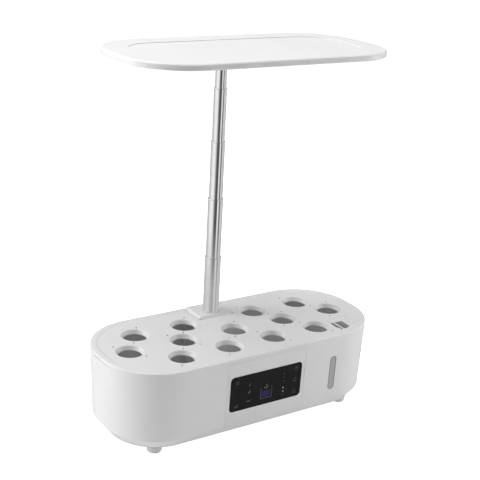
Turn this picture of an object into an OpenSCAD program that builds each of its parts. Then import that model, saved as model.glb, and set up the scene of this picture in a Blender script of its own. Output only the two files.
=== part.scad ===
// Countertop hydroponic garden: a water tank with a pod deck, a telescopic post and a grow lamp.
// Millimetres. X runs along the tank, -Y is the display side, +Z is up.
// The origin lies on the table, under the middle of the object.

/* [Base] */
// Length of the tank and deck
base_len = 400; // [380:1:430]
// Depth of the tank and deck
base_dep = 173; // [170:1:190]
// Corner radius of the plan outline
base_r = 77; // [72:1:80]
// Height of the deck's rim above the table
rim_z = 120; // [112:1:135]
// Height of the flat underside above the table
under_z = 10.2; // [8:0.2:14]
// Thickness of the tank walls
wall_t = 2.6; // [2:0.1:3.5]
// Thickness of the tank floor
floor_t = 2.6; // [2:0.1:4]
// How far the wall leans in on its way down
wall_lean = 3; // [1:0.5:5]
// Height of the bottom chamfer
chamfer_h = 14.2; // [8:0.2:18]
// How far the bottom chamfer steps in
chamfer_in = 11.3; // [7:0.1:14]

/* [Deck] */
// Height of the deck's outer edge, from the tank's rim to the top
deck_edge_h = 5.5; // [4.5:0.1:8]
// Thickness of the deck plate
deck_t = 2.6; // [2:0.1:3.4]
// Width of the raised rim band
rim_w = 6.5; // [5:0.1:9]
// Height of the rim band over the flat deck
rim_rise = 1; // [0.4:0.1:1.5]
// Radius of the rim's outer top edge
rim_round = 1.2; // [0.6:0.1:4]
// Depth of the skirt that drops into the tank
skirt_h = 6; // [4:0.5:10]
// Thickness of the skirt
skirt_t = 2.2; // [1.6:0.1:3]
// Gap between the skirt and the tank wall
skirt_gap = 0.6; // [0.5:0.05:1.2]

/* [Pod holes] */
// Diameter of a pod hole
pod_d = 31.3; // [26:0.1:33]
// Diameter of the tapered seat round a pod hole, at the deck's top
seat_d = 37; // [35:0.1:40]
// Depth of the tapered seat
seat_h = 5.3; // [3:0.1:8]
// Height of the straight lip at the seat's foot
seat_lip = 0.8; // [0.4:0.1:3]
// Wall of the seat under the deck plate
seat_t = 2; // [1.5:0.1:2.5]
// Width of the eased edge at the seat's top
seat_ease = 0.5; // [0.2:0.1:1]
// Distance between two neighbouring pods in the middle row
pod_pitch = 79.1; // [76:0.1:82]
// Place of the back row of pods, measured back from the middle row
row_back = 41.1; // [40:0.1:42]
// Place of the front row of pods, measured forward from the middle row
row_front = 43.2; // [42:0.1:44]
// Place of the middle row of pods
row_mid_y = -3; // [-4:0.1:-2]
// Inner pods of the back row, distance from the middle
back_x1 = 55.7; // [54:0.1:58]
// Outer pods of the back row, distance from the middle
back_x2 = 129.8; // [127:0.1:132]
// Inner pods of the front row, distance from the middle
front_x1 = 35.2; // [33:0.1:38]
// Outer pods of the front row, distance from the middle
front_x2 = 105.3; // [103:0.1:106]
// Diameter of a vent hole
vent_d = 3; // [1.5:0.1:4]
// Vent holes, sideways distance from their pod
vent_dx = 12.7; // [12:0.1:14]
// Vent holes, depthwise distance from their pod
vent_dy = 21.1; // [21:0.1:23]

/* [Fill port] */
// Left edge of the filling well
well_x = 131.4; // [130:0.1:133]
// Length of the filling well, left to right
well_len = 40.3; // [36:0.1:44]
// Back edge of the filling well
well_y = -30; // [-33:0.1:-29]
// Distance from the outline to the well's curved edge
well_in = 14; // [13:0.1:17]
// Depth of the filling well
well_h = 3.5; // [2.5:0.1:5]
// Thickness of the filling well's floor
well_t = 1.6; // [1.2:0.1:2.5]
// Width of the filling opening
port_w = 12.7; // [9:0.1:14]
// Width of the slot beside the filling opening
port_slot_w = 10.4; // [8:0.1:11]
// Width of the bar between them
port_bar = 2.2; // [1.8:0.1:4]
// Length of both openings, measured from the back
port_len = 23; // [16:0.5:26]

/* [Front panel] */
// Width of the control insert
insert_w = 122; // [118:0.5:130]
// Gap round the control insert
insert_gap = 0.3; // [0.2:0.05:0.6]
// Width of the display glass
glass_w = 111.5; // [100:0.5:113]
// Height of the display glass
glass_h = 50; // [40:0.5:56]
// Corner radius of the display glass
glass_r = 5.5; // [3:0.5:8]
// Height of the display's middle above the table
glass_z = 69.1; // [64:0.1:72]
// Thickness of the display glass
glass_t = 1.9; // [1.5:0.1:2]
// Gap round the display glass
glass_gap = 0.25; // [0.15:0.05:0.5]
// Depth of the dry pocket behind the insert, from the outline at the top
pocket_dep = 17.5; // [16.5:0.1:18]

/* [Water window] */
// Distance from the end of the flat front to the window's middle
window_in = 14.3; // [12:0.1:18]
// Height of its middle above the table
window_z = 64.9; // [60:0.1:68]
// Width of the window
window_w = 10; // [8:0.5:12]
// Height of the window
window_h = 50; // [40:1:54]
// Width of the flange behind the window
window_flange = 2.4; // [2:0.1:3]

/* [Post] */
// Place of the post, behind the middle
post_y = 60; // [59:0.5:61]
// Outer diameter of the lowest tube
tube_d = 22.5; // [21:0.1:23]
// Wall of every tube
tube_t = 0.6; // [0.5:0.05:0.8]
// Gap between one tube and the next
tube_gap = 0.3; // [0.3:0.02:0.4]
// Running gap of a lip or bush
run_gap = 0.06; // [0.03:0.01:0.08]
// Length of each sliding tube
tube_len = 87; // [84:0.5:90]
// Height of the inward lip at a tube's top
lip_h = 3; // [2:0.5:4]
// Height of a guide bush
bush_h = 8; // [6:0.5:10]
// Height of the lowest tube's top above the table
tube_1_top = 202.7; // [195:0.1:215]
// Height of the lowest tube's foot above the table
tube_1_foot = 84; // [80:0.5:90]
// How far the second tube is pushed in from its stop
in_2 = 0; // [0:0.1:40]
// How far the third tube is pushed in from its stop
in_3 = 5.4; // [0:0.1:40]
// How far the fourth tube is pushed in from its stop
in_4 = 12.7; // [0:0.1:40]
// How far the fifth tube is pushed in from its stop
in_5 = 30; // [0:0.1:40]
// Width of the raised post mount
mount_w = 54; // [48:0.5:58]
// Front edge of the post mount
mount_y = 43; // [42:0.5:44]
// Height of the post mount over the deck's rim
mount_rise = 1.6; // [1:0.1:3]
// Chamfer round the post mount
mount_chamfer = 3; // [1:0.1:4]

/* [Lamp] */
// Length of the lamp
lamp_len = 366.6; // [340:0.5:390]
// Depth of the lamp
lamp_dep = 186.6; // [180:0.2:196]
// Corner radius of the lamp
lamp_r = 72; // [60:1:80]
// Thickness of the lamp's edge
lamp_h = 8.1; // [8:0.1:10]
// Radius of the lamp's top edge
lamp_round = 3; // [1:0.1:4]
// Thickness of the lamp's top plate
lamp_top_t = 2.6; // [2.4:0.1:3]
// Thickness of the lamp's side skirt
lamp_skirt_t = 2; // [1.5:0.1:2.5]
// Length of the shallow recess in the lamp's top
recess_len = 312; // [280:1:330]
// Depth of that recess, front to back
recess_dep = 120; // [100:1:140]
// How deep that recess is sunk
recess_h = 1; // [0.5:0.1:1.4]
// Thickness of the lamp's underside tray
tray_t = 1.8; // [1.5:0.1:2]
// Distance from the lamp's end to the light window
light_side = 21.3; // [16:0.1:30]
// Distance from the lamp's front edge to the light window
light_front = 17.3; // [14:0.1:24]
// Distance from the hub to the light window
light_back = 8; // [6:0.5:14]
// Corner radius of the light window
light_r = 40; // [34:1:48]
// Number of lamp chips along the lamp
chip_cols = 16; // [8:1:20]
// Number of rows of lamp chips
chip_rows = 5; // [3:1:6]

/* [Feet] */
// Distance from the tank's end to a foot's middle
foot_end = 52; // [50:0.5:60]
// Distance from the tank's long side to a foot's middle
foot_side = 31.2; // [28:0.1:34]
// Diameter of a foot at its top
foot_d = 23; // [16:0.5:24]

/* [Water side] */
// Sideways place of the pump
pump_x = -45; // [-50:0.5:-42]
// Depthwise place of the pump
pump_y = 5; // [-5:0.5:10]
// Length of the pump's housing
pump_len = 40; // [36:0.5:44]
// Width of the pump's housing
pump_w = 30; // [28:0.5:34]
// Height of the pump's housing
pump_h = 32; // [30:0.5:36]
// Diameter of the pump's impeller
impeller_d = 19; // [16:0.2:20]
// Diameter of the level float
float_d = 12; // [10:0.2:12]
// Height of the level float
float_h = 12; // [8:0.5:16]
// Diameter of the float's stem
stem_d = 4; // [3:0.1:5]
// Height of the float's stem above the table
stem_top = 95; // [80:0.5:102]

/* [Hidden] */

white = [0.90, 0.90, 0.91];
shade_white = [0.80, 0.80, 0.82];
chrome = [0.72, 0.73, 0.75];
black = [0.08, 0.08, 0.09];
board_green = [0.10, 0.32, 0.18];
rubber_grey = [0.35, 0.35, 0.37];
steel = [0.60, 0.60, 0.62];

seam_z = rim_z - deck_edge_h;
deck_z = rim_z - rim_rise;
deck_low = deck_z - deck_t;
chamfer_z = under_z + chamfer_h;
floor_z = under_z + floor_t;
foot_in = wall_lean + chamfer_in;
lean_a = atan(wall_lean / (seam_z - chamfer_z));
corner_x = base_len / 2 - base_r;
corner_y = base_dep / 2 - base_r;
floor_step = 0.5;
inner_foot = 1;
over = 1;
arc_steps = 5;

// Feet
foot_x = base_len / 2 - foot_end;
foot_y = base_dep / 2 - foot_side;
foot_boss_r = 5;
foot_boss_h = 8;
foot_plug_r = 2.5;
foot_plug_h = 5.5;
foot_sole_in = 4.5;
foot_sole_r = 2.5;

// Finger crescents in the deck's edge at each end, to lift the deck by
finger_h = 3;
finger_in = 1.6;
finger_half = 40;

// Filling well: how far its walls slope in, how far the openings stand from its back and curved
// edges, and how far the slot reaches out past its left edge
well_curve_slope = 3;
well_back_slope = 2.5;
well_right_slope = 6;
well_wall = 2;
port_in = 10.5;
port_side = 2.2;
port_edge = 4.2;

// Pods: place, and which way the pair of vents leans (1 or -1), for the right half; mirrored left.
row_back_y = row_mid_y + row_back;
row_front_y = row_mid_y - row_front;
pods_right = [
  [back_x1, row_back_y, -1], [back_x2, row_back_y, -1],
  [pod_pitch, row_mid_y, 1], [2 * pod_pitch, row_mid_y, 1],
  [front_x1, row_front_y, -1], [front_x2, row_front_y, -1]
];
pods = concat(
  [[0, row_mid_y, 1]], pods_right, [for (p = pods_right) [-p[0], p[1], -p[2]]]
);

// Dry spaces of the tank
pocket_y = -base_dep / 2 + pocket_dep;
insert_half = insert_w / 2;
roof_z = seam_z - wall_t;
tower_half = mount_w / 2;
tower_in = tower_half - wall_t;
tower_y = mount_y + wall_t;
tower_back_y = base_dep / 2 - foot_in - 1;
ledge_z = seam_z - 10;
ledge_t = 2.5;
duct_half = 9.5;
duct_top = under_z + 9.3;
duct_open_y = pocket_y + 11;
cover_plate_t = 1.8;
boss_r = 3.6;

// Screws: head radius, head height, shank radius, shank length
thread_gap = 0.02;
plate_screw_head_r = 2.9;
plate_screw_head_h = 1.8;
plate_screw_r = 1.28;
plate_screw_l = 9;
plate_screw_hole = 1.8;
small_screw_head_r = 2.2;
small_screw_head_h = 1.2;
small_screw_r = 0.98;
small_screw_l = 4.6;
small_screw_hole = 1.3;
mount_screw_l = seam_z - ledge_z - 1;
mount_screw_x = 19;
mount_screw_front = 9;
mount_screw_back = 14;
mount_screw_places = [
  for (sx = [-1, 1], y = [post_y - mount_screw_front, post_y + mount_screw_back]) [sx * mount_screw_x, y]
];
duct_screw_x = 16;
duct_screw_in = 3;
tower_screw_out = 3.5;
tower_screw_front = 6;
tower_screw_back = 24;
base_screw_places = concat(
  [for (sx = [-1, 1], y = [duct_open_y + duct_screw_in, (duct_open_y + mount_y) / 2]) [sx * duct_screw_x, y]],
  [for (sx = [-1, 1], y = [mount_y + tower_screw_front, mount_y + tower_screw_back])
    [sx * (tower_half + tower_screw_out), y]]
);

// Control insert, glass and board
clip_z = [40, 96];
clip_half = 4;
clip_out = 1.2;
clip_in = 7;
clip_t = 3;
clip_gap = 0.3;
glass_proud = 0.35;
glass_ledge = 5.5;
board_back = 7.6;
board_thick = 1.6;
board_post_r = 3;
board_post_in = 2.5;
board_posts = [
  for (sx = [-1, 1], sy = [-1, 1]) [sx * (glass_w / 2 - board_post_in), sy * (glass_h / 2 - board_post_in)]
];

// Water window and level float
window_x = corner_x - window_in;
window_gap = 0.2;
seal_t = 0.8;
flange_t = 1.5;
float_y = -base_dep / 2 + 18.5;
float_seat_z = floor_z + 4.2;
float_gap = 0.35;
stem_boss_t = 3;

// Power inlet, low in the back wall
inlet_x = 12;
inlet_z = 42;
inlet_r = 5.5;
inlet_bore = 2.8;
inlet_flange_r = 8;
inlet_flange_gap = 0.3;
inlet_flange_t = 1.7;
inlet_deep = 12;
inlet_nut_r = 8.6;
inlet_nut_t = 2.4;

// Pump
cup_h = 2.4;
pump_low = floor_z + cup_h;
pump_drop = 15;
pump_axis_z = pump_low + pump_drop;
pump_end_x = pump_x - pump_len / 2;
pump_r = 5;
chamber_r = impeller_d / 2 + 1.5;
chamber_l = 10;
rotor_r = 6;
rotor_l = 16;
rotor_gap = 0.5;
shaft_r = 1;
strainer_t = 3;
outlet_r = 4.2;
outlet_bore = 2.8;
outlet_in = 5;
outlet_l = 11;

// Post
tube_step = tube_t + tube_gap;
function tube_r(i) = tube_d / 2 - (i - 1) * tube_step;
tube_in = [0, 0, in_2, in_3, in_4, in_5];
function tube_top(i) = i == 1 ? tube_1_top : tube_top(i - 1) + tube_len - lip_h - tube_in[i];
function tube_foot(i) = i == 1 ? tube_1_foot : tube_top(i) - tube_len;
spigot_h = 4;
bush_gap = 0.02;
socket_r = tube_r(1) + 0.05;
socket_t = 2.6;
socket_floor_t = 2;
socket_ledge = 1.6;
socket_ease = 1;
mount_top = rim_z + mount_rise;

// Lamp
light_len = lamp_len - 2 * light_side;
hub_r = 16;
light_low_y = -lamp_dep / 2 + light_front;
light_high_y = post_y - hub_r - light_back;
light_dep = light_high_y - light_low_y;
light_y = (light_low_y + light_high_y) / 2;
board_len = light_len - 8;
board_dep = light_dep - 6;
board_r = 24;
lamp_low = tube_top(5) + 0.1;
lamp_top = lamp_low + lamp_h;
plate_low = lamp_top - lamp_top_t;
board_t = 1.2;
lamp_board_low = plate_low - board_t;
chip = 3.2;
chip_h = 0.9;
diffuser_lip = 4;
diffuser_t = 1;
diffuser_gap = 0.3;
diffuser_step = 0.4;
lamp_skin = 1.8;
pivot_r = 6;
hub_t = 3.6;
hub_sink = 1.4;
pivot_flange_r = 9.5;
pivot_flange_t = 1.4;
hub_screw_r = 12.6;
tray_gap = 0.3;
tray_edge = lamp_skirt_t + tray_gap;
lamp_screw_in = 10;
lamp_screw_end = 63.3;
lamp_screw_mid = 42;
lamp_boss_r = 3;
lamp_screw_y = lamp_dep / 2 - lamp_screw_in;
lamp_screw_places = concat(
  [for (sx = [-1, 1], sy = [-1, 1]) [sx * (lamp_len / 2 - lamp_screw_end), sy * lamp_screw_y]],
  [for (s = [-1, 1]) [s * lamp_screw_mid, s * lamp_screw_y]]
);

// ---------- shared shapes ----------

// A rectangle with round corners, centred
module round_rect(w, h, r) {
  square([w - 2 * r, h], center = true);
  square([w, h - 2 * r], center = true);
  for (sx = [-1, 1], sy = [-1, 1])
    translate([sx * (w / 2 - r), sy * (h / 2 - r)])
      circle(r = r, $fn = 64);
}

// The child profile (x outwards from the corner axis, y up), run straight on one side
module side_run(side, len, dep, r) {
  along = side % 2 == 0 ? dep - 2 * r : len - 2 * r;
  away = side % 2 == 0 ? len / 2 - r : dep / 2 - r;
  rotate([0, 0, 90 * side])
    translate([away, along / 2, 0])
      rotate([90, 0, 0])
        linear_extrude(along) children();
}

// The child profile swept round a whole rounded rectangle
module plan_sweep(len, dep, r) {
  for (side = [0:3]) side_run(side, len, dep, r) children();
  for (i = [0:3]) {
    sx = i == 0 || i == 3 ? 1 : -1;
    sy = i < 2 ? 1 : -1;
    translate([sx * (len / 2 - r), sy * (dep / 2 - r), 0])
      rotate([0, 0, 90 * i])
        rotate_extrude(angle = 90, $fn = 96) children();
  }
}

// The flat middle of a swept plate
module plan_core(len, dep, r, low, high) {
  translate([0, 0, low])
    linear_extrude(high - low)
      square([len - 2 * r, dep - 2 * r], center = true);
}

function arc(cx, cy, r, a0, a1, n = arc_steps) =
  [for (i = [0:n]) let (a = a0 + (a1 - a0) * i / n) [cx + r * cos(a), cy + r * sin(a)]];

// Place on the leaning front wall: local x sideways, y up the wall, z outwards
function front_y(z) = -base_dep / 2 + lean_in(z);
module on_front(x, z) {
  translate([x, front_y(z), z])
    rotate([90 + lean_a, 0, 0]) children();
}

// A screw that is driven upwards: head below, shank above
module screw(head_r, head_h, shank_r, shank_l) {
  cylinder(r = head_r, h = head_h, $fn = 32);
  translate([0, 0, head_h])
    cylinder(r = shank_r, h = shank_l, $fn = 24);
}

module plate_screw(len) screw(plate_screw_head_r, plate_screw_head_h, plate_screw_r, len);
module small_screw() screw(small_screw_head_r, small_screw_head_h, small_screw_r, small_screw_l);

// ---------- tank ----------

// How far the leaning wall has come in at a height
function lean_in(z) = wall_lean * (seam_z - z) / (seam_z - chamfer_z);

// Outer edge of the tank wall, from the rim down and in under the chamfer
function wall_outer() = [
  [base_r, seam_z],
  [base_r - wall_lean, chamfer_z],
  [base_r - foot_in, under_z]
];

// Inner edge, from the floor up to the rim
function wall_inner(grow = 0) = [
  [base_r - foot_in - floor_step - grow, floor_z + grow],
  [base_r - wall_t - lean_in(chamfer_z + inner_foot) - grow, chamfer_z + inner_foot + grow],
  [base_r - wall_t - grow, seam_z]
];

module tank_profile() {
  polygon(concat(wall_outer(), [[0, under_z], [0, floor_z]], wall_inner()));
}

module tank_outline_profile() {
  polygon(concat([[0, seam_z]], wall_outer(), [[0, under_z]]));
}

module tank_outline_solid() {
  plan_sweep(base_len, base_dep, base_r) tank_outline_profile();
  plan_core(base_len, base_dep, base_r, under_z, seam_z);
}

module tank_shell() {
  plan_sweep(base_len, base_dep, base_r) tank_profile();
  plan_core(base_len, base_dep, base_r, under_z, floor_z);
}

// A box between two corners
module block(low, high) {
  translate(low) cube(high - low);
}

module pocket_walls() {
  y0 = -base_dep / 2;
  for (s = [-1, 1])
    block([s > 0 ? insert_half : -insert_half - wall_t, y0, under_z],
          [s > 0 ? insert_half + wall_t : -insert_half, pocket_y + wall_t, seam_z]);
  block([-insert_half - wall_t, pocket_y, under_z], [insert_half + wall_t, pocket_y + wall_t, seam_z]);
  block([-insert_half, y0, roof_z], [insert_half, pocket_y + 1, seam_z]);
}

module tower_walls() {
  y1 = base_dep / 2;
  for (s = [-1, 1])
    block([s > 0 ? tower_in : -tower_half, mount_y, under_z],
          [s > 0 ? tower_half : -tower_in, y1, seam_z]);
  block([-tower_half, mount_y, under_z], [tower_half, tower_y, seam_z]);
  difference() {
    block([-tower_in - 1, mount_y, ledge_z], [tower_in + 1, y1, ledge_z + ledge_t]);
    translate([0, post_y, ledge_z - 1])
      cylinder(r = socket_r + socket_t + 0.3, h = ledge_t + 2, $fn = 64);
    for (p = mount_screw_places)
      translate([p[0], p[1], ledge_z - 1])
        cylinder(r = 1.7, h = ledge_t + 2, $fn = 24);
  }
}

// Opening in the wall for the control insert
module insert_opening() {
  intersection() {
    side_run(3, base_len, base_dep, base_r)
      polygon(concat(
        [[base_r + over, seam_z + over], [base_r + over, under_z - over]],
        [[base_r - foot_in - floor_step - insert_gap, under_z - over]],
        wall_inner(insert_gap),
        [[base_r - wall_t - insert_gap, seam_z + over]]
      ));
    block([-insert_half, -base_dep, 0], [insert_half, 0, rim_z]);
  }
}

// A box beyond the insert's edge on side s, from in_x inside the edge to out_x outside it
module edge_block(s, edge, in_x, out_x, y0, y1, z0, z1) {
  block([s > 0 ? edge - in_x : -edge - out_x, y0, z0], [s > 0 ? edge + out_x : -edge + in_x, y1, z1]);
}

// Windows that the insert's catches snap into, two on each side
module clip_windows() {
  for (s = [-1, 1], z = clip_z)
    edge_block(s, insert_half, over, clip_out + clip_gap, front_y(z) + clip_in - clip_gap - 0.6,
               front_y(z) + clip_in + clip_t + clip_gap, z - clip_half - clip_gap, z + clip_half + clip_gap);
}

module slot_2d(w, h) {
  square([w, h - w], center = true);
  for (s = [-1, 1]) translate([0, s * (h - w) / 2]) circle(d = w, $fn = 48);
}

module tank() {
  color(white)
    difference() {
      union() {
        tank_shell();
        intersection() {
          tank_outline_solid();
          union() {
            pocket_walls();
            tower_walls();
          }
        }
        block([-duct_half - wall_t, pocket_y, under_z], [duct_half + wall_t, tower_y, duct_top + wall_t]);
        for (p = base_screw_places)
          translate([p[0], p[1], under_z]) cylinder(r = boss_r, h = plate_screw_l + 2, $fn = 32);
        for (sx = [-1, 1], sy = [-1, 1])
          translate([sx * foot_x, sy * foot_y, under_z]) cylinder(r = foot_boss_r, h = foot_boss_h, $fn = 32);
        translate([window_x, float_y, under_z])
          cylinder(d = stem_d + 2 * stem_boss_t, h = float_seat_z - under_z, $fn = 32);
      }
      insert_opening();
      clip_windows();
      // wire duct, from the pocket to the tower, open below behind the pocket
      block([-duct_half, pocket_y - 1, floor_z], [duct_half, tower_y + 1, duct_top]);
      block([-duct_half, duct_open_y, under_z - 1], [duct_half, tower_y + 1, duct_top]);
      block([-tower_in, tower_y, under_z - 1], [tower_in, tower_back_y, floor_z + 1]);
      for (p = base_screw_places)
        translate([p[0], p[1], under_z - over])
          cylinder(r = plate_screw_r + thread_gap, h = plate_screw_l + over, $fn = 24);
      for (sx = [-1, 1], sy = [-1, 1])
        translate([sx * foot_x, sy * foot_y, under_z - over])
          cylinder(r = foot_plug_r + 0.1, h = foot_plug_h + over + 0.5, $fn = 24);
      translate([window_x, float_y, floor_z])
        cylinder(d = stem_d + 2 * thread_gap, h = float_seat_z - floor_z + over, $fn = 32);
      on_front(window_x, window_z)
        translate([0, 0, -wall_t - 1])
          linear_extrude(wall_t + 2) slot_2d(window_w + 2 * window_gap, window_h + 2 * window_gap);
      translate([inlet_x, base_dep / 2 + over, inlet_z])
        rotate([90, 0, 0]) cylinder(r = inlet_r + 0.2, h = 12, $fn = 48);
    }
}

// ---------- deck ----------

module deck_profile() {
  skirt_out = base_r - wall_t - skirt_gap;
  skirt_low = seam_z - skirt_h;
  steps = 6;
  fall = 4.5;
  band_in = base_r - rim_w;
  polygon(concat(
    [[base_r, seam_z]],
    arc(base_r - rim_round, rim_z - rim_round, rim_round, 0, 90),
    [for (i = [0:steps]) [band_in - fall * i / steps, deck_z + rim_rise * (1 + cos(180 * i / steps)) / 2]],
    [[0, deck_z], [0, deck_low]],
    [[skirt_out - skirt_t, deck_low], [skirt_out - skirt_t, skirt_low]],
    [[skirt_out, skirt_low], [skirt_out, seam_z]]
  ));
}

module deck_plate() {
  plan_sweep(base_len, base_dep, base_r) deck_profile();
  plan_core(base_len, base_dep, base_r, deck_low, deck_z);
}

// Space of the filling well: curved edge, straight left side, sloping back and right side
module well_space(grow, low, high) {
  steep = grow > 0 ? 0 : 1;
  r_top = base_r - well_in + grow;
  y_top = well_y + grow;
  x_top = well_x + well_len + grow;
  intersection() {
    translate([corner_x, -corner_y, low])
      cylinder(r1 = r_top - steep * well_curve_slope, r2 = r_top, h = high - low, $fn = 96);
    translate([well_x - grow, 0, 0])
      rotate([90, 0, 90])
        linear_extrude(well_len + 2 * grow)
          polygon([
            [-base_dep / 2, low], [y_top - steep * well_back_slope, low], [y_top, high], [-base_dep / 2, high]
          ]);
    rotate([90, 0, 0])
      linear_extrude(base_dep / 2)
        polygon([
          [well_x - grow, low], [x_top - steep * well_right_slope, low], [x_top, high], [well_x - grow, high]
        ]);
  }
}

// The two openings in the well's floor
module port_openings(low, high) {
  y_back = well_y - port_in;
  slot_x = well_x - port_side;
  port_x = slot_x + port_slot_w + port_bar;
  intersection() {
    union() {
      block([slot_x, y_back - port_len, low], [slot_x + port_slot_w, y_back, high]);
      block([port_x, y_back - port_len, low], [port_x + port_w, y_back, high]);
    }
    translate([corner_x, -corner_y, low])
      cylinder(r = base_r - well_in - port_edge, h = high - low, $fn = 96);
  }
}

module vents() {
  for (p = pods)
    for (s = [-1, 1])
      translate([p[0] + s * p[2] * vent_dx, p[1] + s * vent_dy, deck_low - 1])
        cylinder(d = vent_d, h = deck_t + 2, $fn = 16);
}

module deck() {
  notch_half = tower_half + 0.5;
  well_floor = deck_z - well_h;
  color(white)
    difference() {
      union() {
        deck_plate();
        for (p = pods)
          translate([p[0], p[1], deck_z - seat_h - seat_lip])
            cylinder(d1 = pod_d + 2 * seat_t, d2 = seat_d + 2 * seat_t,
                     h = seat_h + seat_lip - deck_t / 2, $fn = 64);
        well_space(well_wall, well_floor - well_t, deck_low + over / 2);
      }
      for (p = pods)
        translate([p[0], p[1], 0]) {
          cylinder(d = pod_d, h = deck_z - seat_h + 0.1, $fn = 64);
          translate([0, 0, deck_z - seat_h])
            cylinder(d1 = pod_d, d2 = seat_d, h = seat_h, $fn = 64);
          translate([0, 0, deck_z - seat_ease])
            cylinder(d1 = seat_d, d2 = seat_d + 2 * (seat_ease + over), h = seat_ease + over, $fn = 64);
        }
      vents();
      well_space(0, well_floor, deck_z);
      port_openings(well_floor - well_t - over, rim_z);
      for (s = [-1, 1])
        edge_block(s, base_len / 2, finger_in, over, -finger_half, finger_half,
                   seam_z - over, seam_z + finger_h);
      block([-notch_half, mount_y - 0.5, 0], [notch_half, base_dep, rim_z + 1]);
      block([-insert_half - wall_t - 1, -base_dep, 0],
            [insert_half + wall_t + 1, pocket_y + wall_t + 1, seam_z]);
    }
}

// ---------- front panel ----------

module control_cover() {
  half = insert_half - insert_gap;
  color(white)
    difference() {
      union() {
        intersection() {
          side_run(3, base_len, base_dep, base_r)
            polygon(concat(wall_outer(), wall_inner()));
          block([-half, -base_dep, 0], [half, 0, seam_z - insert_gap]);
        }
        for (p = board_posts)
          on_front(p[0], glass_z)
            translate([0, p[1], -board_back])
              cylinder(r = board_post_r, h = board_back - glass_t + glass_proud + 0.2, $fn = 32);
        for (s = [-1, 1], z = clip_z) {
          edge_block(s, half, 2, 0, front_y(z) + 1, front_y(z) + clip_in + clip_t + 1,
                     z - clip_half, z + clip_half);
          edge_block(s, half, 1, clip_out, front_y(z) + clip_in, front_y(z) + clip_in + clip_t,
                     z - clip_half, z + clip_half);
        }
      }
      on_front(0, glass_z) {
        translate([0, 0, glass_proud - glass_t])
          linear_extrude(glass_t) round_rect(glass_w + 2 * glass_gap, glass_h + 2 * glass_gap, glass_r);
        translate([0, 0, -board_back])
          linear_extrude(board_back) round_rect(glass_w - 2 * glass_ledge, glass_h - 2 * glass_ledge, 3);
      }
      for (p = board_posts)
        on_front(p[0], glass_z)
          translate([0, p[1], -board_back - over])
            cylinder(r = small_screw_r + thread_gap, h = small_screw_l + over - 0.6, $fn = 24);
    }
}

module display_glass() {
  color(black)
    on_front(0, glass_z)
      translate([0, 0, glass_proud - glass_t])
        linear_extrude(glass_t) round_rect(glass_w, glass_h, glass_r);
}

// Dark frame that keeps the display's lamps apart from the insert's edge
module light_guide() {
  w = glass_w - 2 * glass_ledge - 2 * insert_gap;
  h = glass_h - 2 * glass_ledge - 2 * insert_gap;
  rib = 1.2;
  color(black)
    on_front(0, glass_z)
      translate([0, 0, -board_back])
        linear_extrude(board_back - glass_t + glass_proud)
          difference() {
            round_rect(w, h, 3);
            difference() {
              round_rect(w - 4, h - 4, 2);
              for (x = [-w / 6, w / 4]) translate([x, 0]) square([rib, h], center = true);
            }
          }
}

// A component on the back of the control board: place, footprint and height
module on_board(x, y, w, h, tall) {
  translate([x, y, -board_back - board_thick - tall]) cube([w, h, tall + 0.1]);
}

module control_board() {
  processor = 14;
  memory_w = 10;
  memory_h = 7;
  plug_w = 16;
  plug_h = 6;
  sounder_r = 6;
  sounder_h = 4;
  lamp_pitch = 14;
  half_w = glass_w / 2 - glass_ledge;
  half_h = glass_h / 2 - glass_ledge;
  color(board_green)
    on_front(0, glass_z) {
      difference() {
        translate([0, 0, -board_back - board_thick])
          linear_extrude(board_thick) round_rect(glass_w + 2, glass_h + 2, 3);
        for (p = board_posts)
          translate([p[0], p[1], -board_back - board_thick - over])
            cylinder(r = small_screw_hole, h = board_thick + 2 * over, $fn = 24);
      }
      // processor, memory and connector on the back, then the sounder
      on_board(-half_w / 3, half_h - processor - 2, processor, processor, 1.8);
      on_board(half_w / 8, -half_h + memory_h, memory_w, memory_h, 1.4);
      on_board(half_w / 2, -half_h + 3, plug_w, plug_h, 4.8);
      translate([-half_w + 2 * sounder_r, -half_h / 2, -board_back - board_thick - sounder_h])
        cylinder(r = sounder_r, h = sounder_h + 0.1, $fn = 32);
      // lamps behind the icons
      for (i = [-2.5:2.5], y = [-half_h * 2 / 3, half_h * 2 / 3])
        translate([i * lamp_pitch, y, -board_back + 0.5]) cube([3, 2, 1.2], center = true);
    }
}

module board_screws() {
  color(steel)
    for (p = board_posts)
      on_front(p[0], glass_z)
        translate([0, p[1], -board_back - board_thick - small_screw_head_h]) small_screw();
}

// ---------- water window ----------

module window_lens() {
  color([0.62, 0.64, 0.66, 0.7])
    on_front(window_x, window_z) {
      translate([0, 0, -wall_t - seal_t])
        linear_extrude(wall_t + seal_t - window_gap) slot_2d(window_w, window_h);
      translate([0, 0, -wall_t - seal_t - flange_t])
        linear_extrude(flange_t) slot_2d(window_w + 2 * window_flange, window_h + 2 * window_flange);
    }
}

module window_seal() {
  color(rubber_grey)
    on_front(window_x, window_z)
      translate([0, 0, -wall_t - seal_t])
        linear_extrude(seal_t)
          difference() {
            slot_2d(window_w + 2 * window_flange, window_h + 2 * window_flange);
            slot_2d(window_w + 0.1, window_h + 0.1);
          }
}

// ---------- power inlet ----------

function back_y(z) = -front_y(z);

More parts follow.
